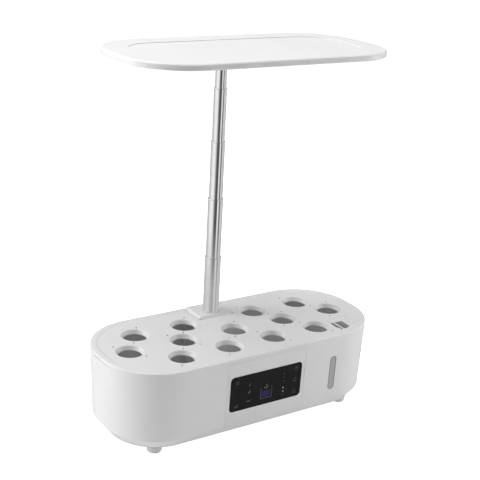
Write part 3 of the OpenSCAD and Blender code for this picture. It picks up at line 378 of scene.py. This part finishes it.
def make_looks():
    """One finish for each material slot of the record, then those of pieces drawn only here."""
    return {
        "white_plastic": moulded("white_plastic", (0.80, 0.80, 0.805), 0.42),
        "foot_plastic": moulded("foot_plastic", (0.80, 0.80, 0.805), 0.5),
        "shade_plastic": moulded("shade_plastic", (0.62, 0.62, 0.63), 0.5),
        "black_plastic": moulded("black_plastic", (0.03, 0.03, 0.032), 0.42, tint=0.1),
        "float_orange": moulded("float_plastic", (0.80, 0.22, 0.04), 0.45, tint=0.04),
        "lamp_chip": moulded("chip_body", (0.82, 0.80, 0.74), 0.5, grain=0.1 * MM),
        "chrome_tube": bright_metal("bright_metal", 1.0, 0.05),
        "steel": plain_steel(),
        "display_black": dark_glass(),
        "window_clear": clear_plastic("window_clear", (0.66, 0.66, 0.655), 0.10, clear=0.35),
        "diffuser_clear": clear_plastic("diffuser_frosted", (0.93, 0.93, 0.93), 0.34, clear=0.45, haze=0.6),
        "circuit_board": board("board_green", (0.012, 0.075, 0.028), (0.03, 0.15, 0.06)),
        "lamp_board": board("board_white", (0.78, 0.78, 0.77), (0.70, 0.70, 0.68)),
        "rubber": rubber(),
        "satin_ring": bright_metal("satin_ring", 0.8, 0.38),
        "phosphor": printed("phosphor", (0.86, 0.66, 0.10)),
        "sign_dim": printed("sign_dim", (0.12, 0.12, 0.135)),
        "sign_grey": printed("sign_grey", (0.15, 0.15, 0.175)),
        "sign_bright": printed("sign_bright", (0.50, 0.51, 0.54), 0.15),
        "sign_water": printed("sign_water", (0.018, 0.017, 0.11), 0.1),
        "sign_sprout": printed("sign_sprout", (0.10, 0.14, 0.045), 0.1),
    }


# ================================ meshes and objects
def mesh_of(shape, name):
    """Turns a finished bmesh into a mesh."""
    mesh = bpy.data.meshes.new(name)
    shape.to_mesh(mesh)
    shape.free()
    return mesh


def object_of(data, name):
    """An object in the scene that shows a mesh, a light or a camera."""
    thing = bpy.data.objects.new(name, data)
    bpy.context.scene.collection.objects.link(thing)
    return thing


def piece(name, body, draw, look, smooth=False):
    """A new object, riding on a body, whose mesh draw makes in a bmesh."""
    shape = bmesh.new()
    draw(shape)
    bmesh.ops.recalc_face_normals(shape, faces=shape.faces)
    mesh = mesh_of(shape, name)
    mesh.materials.append(look)
    for face in mesh.polygons:
        face.use_smooth = smooth
    thing = object_of(mesh, name)
    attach(thing, body)
    return thing


def walls(shape, low, top):
    """Faces between two closed rings of as many corners."""
    count = len(low)
    for i in range(count):
        j = (i + 1) % count
        shape.faces.new((low[i], low[j], top[j], top[i]))


def prism(shape, low, top):
    """A closed body between two rings of corners."""
    shape.faces.new(top)
    shape.faces.new(low[::-1])
    walls(shape, low, top)


def copies(shape, mesh, places):
    """Adds the mesh once at each place."""
    for place in places:
        before = set(shape.verts)
        shape.from_mesh(mesh)
        fresh = [v for v in shape.verts if v not in before]
        bmesh.ops.translate(shape, vec=place, verts=fresh)


def lathe(shape, profile, steps, closed=False, centre=(0.0, 0.0)):
    """A turned body round a vertical axis; profile is a list of (radius, height)."""
    rings = []
    for radius, height in profile:
        if radius <= 0:
            rings.append([shape.verts.new((centre[0], centre[1], height))])
            continue
        rings.append([
            shape.verts.new((centre[0] + radius * math.cos(a), centre[1] + radius * math.sin(a), height))
            for a in (math.tau * i / steps for i in range(steps))
        ])
    pairs = list(zip(rings, rings[1:]))
    if closed:
        pairs.append((rings[-1], rings[0]))
    for low, high in pairs:
        for i in range(steps):
            j = (i + 1) % steps
            corners = [low[i % len(low)], low[j % len(low)], high[j % len(high)], high[i % len(high)]]
            shape.faces.new(list(dict.fromkeys(corners)))


# ================================ drawing on the glass
def glass_point(u, v, out):
    """A point over the glass face: u from left to right and v from top to bottom, both 0 to 1."""
    z = GLASS_HIGH.z - v * GLASS_H
    return Vector((
        GLASS_LOW.x + u * GLASS_W,
        GLASS_LOW.y + (GLASS_HIGH.z - z) * math.tan(GLASS_LEAN) - out,
        z,
    ))


def slab(shape, outline):
    """A thin closed plate on the glass whose outline is a list of (u, v) places."""
    low = [shape.verts.new(glass_point(u, v, ICON_PROUD - ICON_THICK)) for u, v in outline]
    top = [shape.verts.new(glass_point(u, v, ICON_PROUD)) for u, v in outline]
    prism(shape, low, top)


def shift(centre, places):
    """Places given in millimetres right of and below a centre."""
    return [(centre[0] + x * MM / GLASS_W, centre[1] + y * MM / GLASS_H) for x, y in places]


def arc(centre, radius, start, end):
    """Places on an arc round a centre, radius in metres; angles in degrees, clockwise from right."""
    places = []
    for i in range(ARC_STEPS + 1):
        a = math.radians(start + (end - start) * i / ARC_STEPS)
        places.append((
            centre[0] + radius * math.cos(a) / GLASS_W,
            centre[1] + radius * math.sin(a) / GLASS_H,
        ))
    return places


def circle(centre, radius):
    """Places on a full circle round a centre, radius in metres."""
    return [
        (centre[0] + radius * math.cos(a) / GLASS_W, centre[1] + radius * math.sin(a) / GLASS_H)
        for a in (math.tau * i / CIRCLE_STEPS for i in range(CIRCLE_STEPS))
    ]


def line(shape, places, width, closed=False, out=ICON_PROUD):
    """A line of that width, in metres, along the places, as one mitred ribbon with thickness."""
    flat = [Vector((u * GLASS_W, v * GLASS_H)) for u, v in places]
    count = len(flat)
    left, right = [], []
    for i, here in enumerate(flat):
        before = flat[i - 1] if i or closed else here
        after = flat[(i + 1) % count] if i < count - 1 or closed else here
        into = (here - before).normalized() if (here - before).length else None
        away = (after - here).normalized() if (after - here).length else None
        into = into or away
        away = away or into
        side_in = Vector((-into.y, into.x))
        side = (side_in + Vector((-away.y, away.x))).normalized()
        reach = width / 2 / max(MITRE_LEAST, side.dot(side_in))
        left.append(here + side * reach)
        right.append(here - side * reach)

    def lift(points, above):
        return [shape.verts.new(glass_point(p.x / GLASS_W, p.y / GLASS_H, above)) for p in points]

    rims = [
        lift(left, out), lift(right, out), lift(right, out - ICON_THICK), lift(left, out - ICON_THICK),
    ]
    spans = range(count) if closed else range(count - 1)
    for i in spans:
        j = (i + 1) % count
        for a, b in ((0, 1), (1, 2), (2, 3), (3, 0)):
            shape.faces.new((rims[a][i], rims[a][j], rims[b][j], rims[b][i]))
    if not closed:
        shape.faces.new([rim[0] for rim in rims])
        shape.faces.new([rim[-1] for rim in rims][::-1])


# ================================ stage, light and camera
def make_floor():
    """A pale floor: white to the eye, grey in reflections, and a faint glow for the rest."""
    shape = bmesh.new()
    corners = ((-1, -1), (1, -1), (1, 1), (-1, 1))
    shape.faces.new([shape.verts.new((x * FLOOR_HALF, y * FLOOR_HALF, 0.0)) for x, y in corners])
    mesh = mesh_of(shape, "floor")
    look = Look("floor_pale")
    look.set(Base_Color=(0.9, 0.9, 0.9), Roughness=0.9, Emission_Color=(1, 1, 1))
    rays = look.add("ShaderNodeLightPath").outputs
    glow = look.spread(rays["Is Camera Ray"], FLOOR_GLOW, FLOOR_GLOW_SEEN, 0, 1)
    look.link(glow, look.shader.inputs["Emission Strength"])
    dim = look.add("ShaderNodeEmission")
    dim.inputs["Strength"].default_value = FLOOR_GLOSS
    mix = look.add("ShaderNodeMixShader")
    look.link(rays["Is Glossy Ray"], mix.inputs["Fac"])
    look.link(look.shader.outputs["BSDF"], mix.inputs[1])
    look.link(dim.outputs["Emission"], mix.inputs[2])
    look.link(mix.outputs["Shader"], look.tree.nodes["Material Output"].inputs["Surface"])
    mesh.materials.append(look.material)
    floor = object_of(mesh, "floor")


def screen_place(across):
    """Where the screen shows at a place across the post, as a share of a full turn."""
    lean = math.asin(max(-1.0, min(1.0, 2 * across - 1)))
    slip = math.asin(math.sin(lean) / SCREEN_CLEAR)
    return 0.5 + (2 * lean - slip) / math.tau


def make_screen():
    """The screen: a cone round the post, open above and below, that narrows as the tubes do."""
    shape = bmesh.new()
    sides = []
    for node, z in (("post_tube_1", SCREEN_LOW), ("post_tube_5", SCREEN_HIGH)):
        low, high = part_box(node)
        sides.append((SCREEN_CLEAR * (high.x - low.x) / 2, z))
    lathe(shape, sides, SCREEN_STEPS)
    mesh = mesh_of(shape, "screen")
    look = Look("screen_cards")
    turn = look.add("ShaderNodeTexGradient", gradient_type="RADIAL")
    look.link(look.place, turn.inputs["Vector"])
    height = look.add("ShaderNodeSeparateXYZ")
    look.link(look.place, height.inputs["Vector"])
    mix = look.add("ShaderNodeMixRGB")
    near = look.spread(height.outputs["Z"], 1, 0, CARDS_DULL, CARDS_CLEAR)
    look.link(near, mix.inputs["Fac"])
    for socket, dull in (("Color1", 0.0), ("Color2", DULL_SHARE)):
        stops = list(SCREEN_SIDES)
        for left, right, bright in SEEN_CARDS:
            shown = bright + dull * (DULL_GREY - bright)
            stops += [(screen_place(left), shown), (screen_place(right), shown)]
        greys = [(place, (bright,) * 3) for place, bright in sorted(stops)]
        look.link(look.colours(turn.outputs["Fac"], greys), mix.inputs[socket])
    glow = look.add("ShaderNodeEmission")
    look.link(mix.outputs["Color"], glow.inputs["Color"])
    look.link(glow.outputs["Emission"], look.tree.nodes["Material Output"].inputs["Surface"])
    mesh.materials.append(look.material)
    screen = object_of(mesh, "screen")
    screen.location = (0.0, POST_Y, 0.0)
    screen.rotation_euler = (0.0, 0.0, SCREEN_TURN)
    for ray in ("camera", "diffuse", "transmission", "shadow", "volume_scatter"):
        setattr(screen, "visible_" + ray, False)


def area_light(name, place, aim, size, power):
    """A soft box that the camera doesn't see."""
    data = bpy.data.lights.new(name, "AREA")
    data.shape = "RECTANGLE"
    data.size, data.size_y = size
    data.energy = power
    light = object_of(data, name)
    light.location = place
    light.rotation_euler = (Vector(aim) - Vector(place)).to_track_quat("-Z", "Y").to_euler()
    light.visible_camera = False


def make_light():
    """Soft boxes, and a room that is white to the eye and grey in reflections."""
    world = bpy.data.worlds.new("studio")
    world.use_nodes = True
    tree = world.node_tree
    room = tree.nodes["Background"]
    room.inputs["Color"].default_value = (1, 1, 1, 1)
    strength = room.inputs["Strength"]
    rays = tree.nodes.new("ShaderNodeLightPath")
    for ray, bright in (("Is Glossy Ray", ROOM_GLOSS), ("Is Camera Ray", ROOM_SEEN)):
        part = tree.nodes.new("ShaderNodeMath")
        part.operation = "MULTIPLY_ADD"
        part.inputs[1].default_value = bright
        part.inputs[2].default_value = 0.0
        tree.links.new(rays.outputs[ray], part.inputs[0])
        tree.links.new(part.outputs["Value"], strength)
        strength = part.inputs[2]
    bpy.context.scene.world = world
    for name, (place, aim, size, power) in LIGHTS.items():
        area_light(name, place, aim, size, power)


def make_camera():
    """The photograph's camera: turned from the Y axis, looking down, and rolled a little."""
    data = bpy.data.cameras.new("camera")
    data.lens = CAMERA_LENS
    data.sensor_width = CAMERA_SENSOR
    data.clip_start = CAMERA_CLIP
    camera = object_of(data, "camera")
    ahead = Vector((
        math.sin(CAMERA_AZIMUTH) * math.cos(CAMERA_DOWN),
        math.cos(CAMERA_AZIMUTH) * math.cos(CAMERA_DOWN),
        -math.sin(CAMERA_DOWN),
    ))
    level = Vector((math.cos(CAMERA_AZIMUTH), -math.sin(CAMERA_AZIMUTH), 0.0))
    over = level.cross(ahead)
    right = level * math.cos(CAMERA_ROLL) + over * math.sin(CAMERA_ROLL)
    up = right.cross(ahead)
    turn = Matrix((right, up, -ahead)).transposed()
    camera.matrix_world = Matrix.Translation(CAMERA_PLACE) @ turn.to_4x4()
    bpy.context.scene.camera = camera


# ================================ screws
def screw_blank(head_r, head_h, shank_r, length):
    """A pan-head screw, head down, without its recess."""
    shape = bmesh.new()
    lathe(shape, [
        (0, 0), (head_r * 0.55, head_h * 0.06), (head_r * 0.82, head_h * 0.22),
        (head_r * 0.96, head_h * 0.5), (head_r, head_h * 0.8), (head_r, head_h),
        (shank_r, head_h), (shank_r, length), (0, length),
    ], SCREW_STEPS)
    bmesh.ops.recalc_face_normals(shape, faces=shape.faces)
    return mesh_of(shape, "screw")


def recess_tool(head_r, head_h):
    """The cross that is cut up into a screw's head, tapered towards its inner end."""
    shape = bmesh.new()
    arm, half = head_r * 0.56, head_r * 0.15
    cross = [
        (arm, -half), (arm, half), (half, half), (half, arm), (-half, arm), (-half, half),
        (-arm, half), (-arm, -half), (-half, -half), (-half, -arm), (half, -arm), (half, -half),
    ]
    low = [shape.verts.new((x, y, -head_h * 0.3)) for x, y in cross]
    top = [shape.verts.new((x * 0.6, y * 0.6, head_h * 0.6)) for x, y in cross]
    prism(shape, low, top)
    bmesh.ops.recalc_face_normals(shape, faces=shape.faces)
    return mesh_of(shape, "recess")


def screw_mesh(head_r, head_h, shank_r, length):
    """A pan-head screw, head down, with a cross recess."""
    blank = object_of(screw_blank(head_r, head_h, shank_r, length), "screw")
    tool = object_of(recess_tool(head_r, head_h), "recess")
    carve = blank.modifiers.new("recess", "BOOLEAN")
    carve.operation = "DIFFERENCE"
    carve.solver = "EXACT"
    carve.object = tool
    bpy.context.view_layer.update()
    carved = blank.evaluated_get(bpy.context.evaluated_depsgraph_get())
    screw = bpy.data.meshes.new_from_object(carved)
    bpy.data.objects.remove(blank)
    bpy.data.objects.remove(tool)
    return screw


def dress_screws(looks):
    """The screws that show from below get pan heads with cross recesses."""
    for name, node, body, places, sizes in (
        ("base_pan_screws", "base_screws", "base", BASE_SCREWS, LARGE_SCREW),
        ("lamp_pan_screws", "lamp_screws", "lamp", LAMP_SCREWS, SMALL_SCREW),
        ("hub_pan_screws", "hub_screws", "lamp", HUB_SCREWS, SMALL_SCREW),
    ):
        low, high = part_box(node)
        one = screw_mesh(*sizes, high.z - low.z)
        spots = [(x, y, low.z) for x, y in places]
        thing = piece(name, body, lambda shape: copies(shape, one, spots), looks["steel"])
        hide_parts(node)


# ================================ post
def bead_profile(radius, top):
    """A half round that stands proud of a tube and ends at its top, from below to above."""
    inner = radius - BEAD_SUNK
    middle = top - BEAD_HIGH / 2
    profile = [(inner, top - BEAD_HIGH)]
    for k in range(BEAD_ARC_STEPS + 1):
        a = math.radians(-90 + 180 * k / BEAD_ARC_STEPS)
        out = radius + BEAD_PROUD * math.cos(a)
        profile.append((out, middle + (BEAD_HIGH / 2 - BEAD_SUNK) * math.sin(a)))
    profile.append((inner, top - BEAD_SUNK))
    return profile


def dress_post(looks):
    """A rolled bead at the top of each tube that another slides in."""
    for i, body in ((1, "base"), (2, "post_2"), (3, "post_3"), (4, "post_4")):
        low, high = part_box("post_tube_%d" % i)
        profile = bead_profile((high.x - low.x) / 2, high.z)
        piece(
            "post_bead_%d" % i, body,
            lambda shape: lathe(shape, profile, BEAD_ROUND_STEPS, closed=True, centre=(0.0, POST_Y)),
            looks["satin_ring"], smooth=True,
        )


# ================================ lamp chips
def chip_mesh(tall):
    """A square chip, face down, with a round well in its face."""
    shape = bmesh.new()
    edge, rim = [], []
    for i in range(WELL_STEPS):
        a = math.tau * (i + 0.5) / WELL_STEPS
        x, y = math.cos(a), math.sin(a)
        reach = CHIP / 2 / max(abs(x), abs(y))
        edge.append((x * reach, y * reach))
        rim.append((x * WELL_R, y * WELL_R))
    rings = [
        [shape.verts.new((x, y, tall)) for x, y in edge],
        [shape.verts.new((x, y, 0.0)) for x, y in edge],
        [shape.verts.new((x, y, 0.0)) for x, y in rim],
        [shape.verts.new((x * WELL_TAPER, y * WELL_TAPER, WELL_DEEP)) for x, y in rim],
    ]
    for low, high in zip(rings, rings[1:]):
        walls(shape, low, high)
    shape.faces.new(rings[-1])
    shape.faces.new(rings[0][::-1])
    return mesh_of(shape, "chip")


def phosphor_mesh():
    """The drop that fills a chip's well, a little hollow at its face."""
    shape = bmesh.new()
    floor = WELL_DEEP - DROP_CLEAR
    lathe(shape, [
        (0, 0.12 * MM), (WELL_R * 0.6, 0.09 * MM), (WELL_R * 0.9, 0.05 * MM),
        (WELL_R * 0.82, floor), (0, floor),
    ], DROP_STEPS)
    return mesh_of(shape, "phosphor")


def dress_chips(looks):
    """Lamp chips: a pale body with a round well, and phosphor in it."""
    low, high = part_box("led_chips")
    step_x = (high.x - low.x - CHIP) / (CHIP_COLS - 1)
    step_y = (high.y - low.y - CHIP) / (CHIP_ROWS - 1)
    spots = [
        (low.x + CHIP / 2 + i * step_x, low.y + CHIP / 2 + j * step_y, low.z)
        for i in range(CHIP_COLS)
        for j in range(CHIP_ROWS)
    ]
    chip, drop = chip_mesh(high.z - low.z), phosphor_mesh()
    bodies = piece(
        "chip_bodies", "lamp", lambda shape: copies(shape, chip, spots), looks["lamp_chip"],
    )
    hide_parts("led_chips")
    piece("chip_phosphor", "lamp", lambda shape: copies(shape, drop, spots), looks["phosphor"])


# ================================ display
def draw_sun(shape):
    line(shape, circle(SUN, 1.5 * MM), FINE_LINE, closed=True)
    for i in range(8):
        a = math.radians(45 * i)
        line(shape, shift(SUN, [(r * math.cos(a), r * math.sin(a)) for r in (2.2, 3.0)]), FINE_LINE)


def draw_bars(shape):
    """Four upright bars that grow from left to right."""
    for i in range(4):
        x = -2.4 + 1.6 * i
        line(shape, shift(BARS, [(x, 2.6), (x, 1.2 - 1.1 * i)]), BAR_LINE)


def draw_clock(shape):
    line(shape, circle(CLOCK, 2.6 * MM), SIGN_LINE, closed=True)
    line(shape, shift(CLOCK, [(0, -1.7), (0, 0), (1.2, 0.7)]), FINE_LINE)


def draw_drop(shape):
    line(shape, shift(DROP, [
        (0, -3), (1.1, -1.3), (1.9, 0.2), (2.0, 1.4), (1.3, 2.5), (0, 2.9),
        (-1.3, 2.5), (-2.0, 1.4), (-1.9, 0.2), (-1.1, -1.3),
    ]), SIGN_LINE, closed=True)


def draw_switch(shape):
    line(shape, arc(SWITCH, 2.4 * MM, -55, 235), SIGN_LINE)
    line(shape, shift(SWITCH, [(0, -2.9), (0, -0.4)]), SIGN_LINE)


def draw_dim(shape):
    """The touch keys in the outer columns, and the level dots that are off."""
    draw_sun(shape)
    draw_bars(shape)
    draw_clock(shape)
    draw_drop(shape)
    draw_switch(shape)
    for v in LEVELS_OFF:
        slab(shape, circle((LEVEL_COLUMN, v), 0.75 * MM))


def draw_grey(shape):
    """Thermometer, leaf and fan one above the other, and the walls of the planter."""
    line(shape, shift(THERMOMETER, [(0.5, -1.9), (-0.1, 0.6)]), 0.7 * MM)
    slab(shape, circle(THERMOMETER_BULB, 0.95 * MM))
    slab(shape, shift(LEAF, [
        (1.9, -2.0), (1.9, -0.5), (1.0, 1.0), (-0.6, 1.5),
        (-1.8, 2.1), (-1.4, 0.7), (-0.6, -0.9), (0.7, -1.8),
    ]))
    for side in (-1, 1):
        slab(shape, shift(FAN, [
            (0, 0), (side * 1.4, -1.2), (side * 2.7, -0.5), (side * 2.3, 0.8), (side * 1.0, 0.9),
        ]))
    line(shape, [
        (0.428, 0.50), (0.424, 0.79), (0.432, 0.815), (0.572, 0.815), (0.580, 0.79), (0.580, 0.50),
    ], 0.65 * MM)


def draw_bright(shape):
    """The level dots that are lit."""
    for v in LEVELS_LIT:
        slab(shape, circle((LEVEL_COLUMN, v), 0.95 * MM))


def draw_water(shape):
    """The water in the planter, with waves on top."""
    slab(shape, [
        (0.445, 0.605), (0.466, 0.59), (0.488, 0.605), (0.510, 0.59), (0.532, 0.605), (0.552, 0.595),
        (0.552, 0.765), (0.445, 0.765),
    ])


def draw_sprout(shape):
    """The plant over the planter: a stem, a leaf to either side and one on top."""
    line(shape, shift(ROOT, [(0, 0.4), (0.1, -2.2), (0.4, -4.6)]), 0.6 * MM)
    slab(shape, shift(ROOT, [
        (0.0, -1.4), (-0.9, -3.2), (-2.4, -4.2), (-3.4, -4.0), (-3.2, -2.6), (-1.9, -1.5),
    ]))
    slab(shape, shift(ROOT, [
        (0.2, -1.8), (1.3, -3.4), (2.8, -4.2), (3.7, -3.8), (3.3, -2.5), (2.0, -1.8),
    ]))
    slab(shape, shift(ROOT, [(0.3, -4.2), (-0.4, -6.0), (0.5, -8.2), (1.4, -6.2), (0.9, -4.4)]))


def dress_display(looks):
    """Generic signs on the pane, one piece for each colour."""
    for name, draw in (
        ("dim", draw_dim), ("grey", draw_grey), ("bright", draw_bright), ("water", draw_water),
        ("sprout", draw_sprout),
    ):
        piece("sign_" + name, "base", draw, looks["sign_" + name])


# ================================ water window
def draw_border(shape):
    """A closed line just inside the window's edge: two half rounds with straight sides between."""
    low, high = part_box("window_lens")
    middle = (low.x + high.x) / 2
    half_w, half_h = WINDOW_W / 2 - WINDOW_LINE / 2, WINDOW_H / 2 - WINDOW_LINE / 2
    straight = half_h - half_w
    places = []
    for side, start in ((-1, 0), (1, 180)):
        for i in range(WINDOW_ARC_STEPS + 1):
            a = math.radians(start + 180 * i / WINDOW_ARC_STEPS)
            x = middle + half_w * math.cos(a)
            z = WINDOW_Z - side * straight + half_w * math.sin(a)
            places.append(((x - GLASS_LOW.x) / GLASS_W, (GLASS_HIGH.z - z) / GLASS_H))
    line(shape, places, WINDOW_LINE, closed=True, out=-WINDOW_SUNK)


def dress_window(looks):
    """A dark moulded line round the water window."""
    piece("window_border", "base", draw_border, looks["rubber"])


# ================================ the whole
def dress_nodes(looks):
    """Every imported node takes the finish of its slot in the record."""
    for thing in NODES.values():
        for i, have in enumerate(thing.data.materials):
            thing.data.materials[i] = looks[have.name.split(".")[0]]


LOOKS = make_looks()
dress_nodes(LOOKS)
dress_post(LOOKS)
dress_display(LOOKS)
dress_window(LOOKS)
dress_screws(LOOKS)
dress_chips(LOOKS)
make_floor()
make_screen()
make_light()
make_camera()
bpy.context.scene.view_settings.view_transform = "Standard"
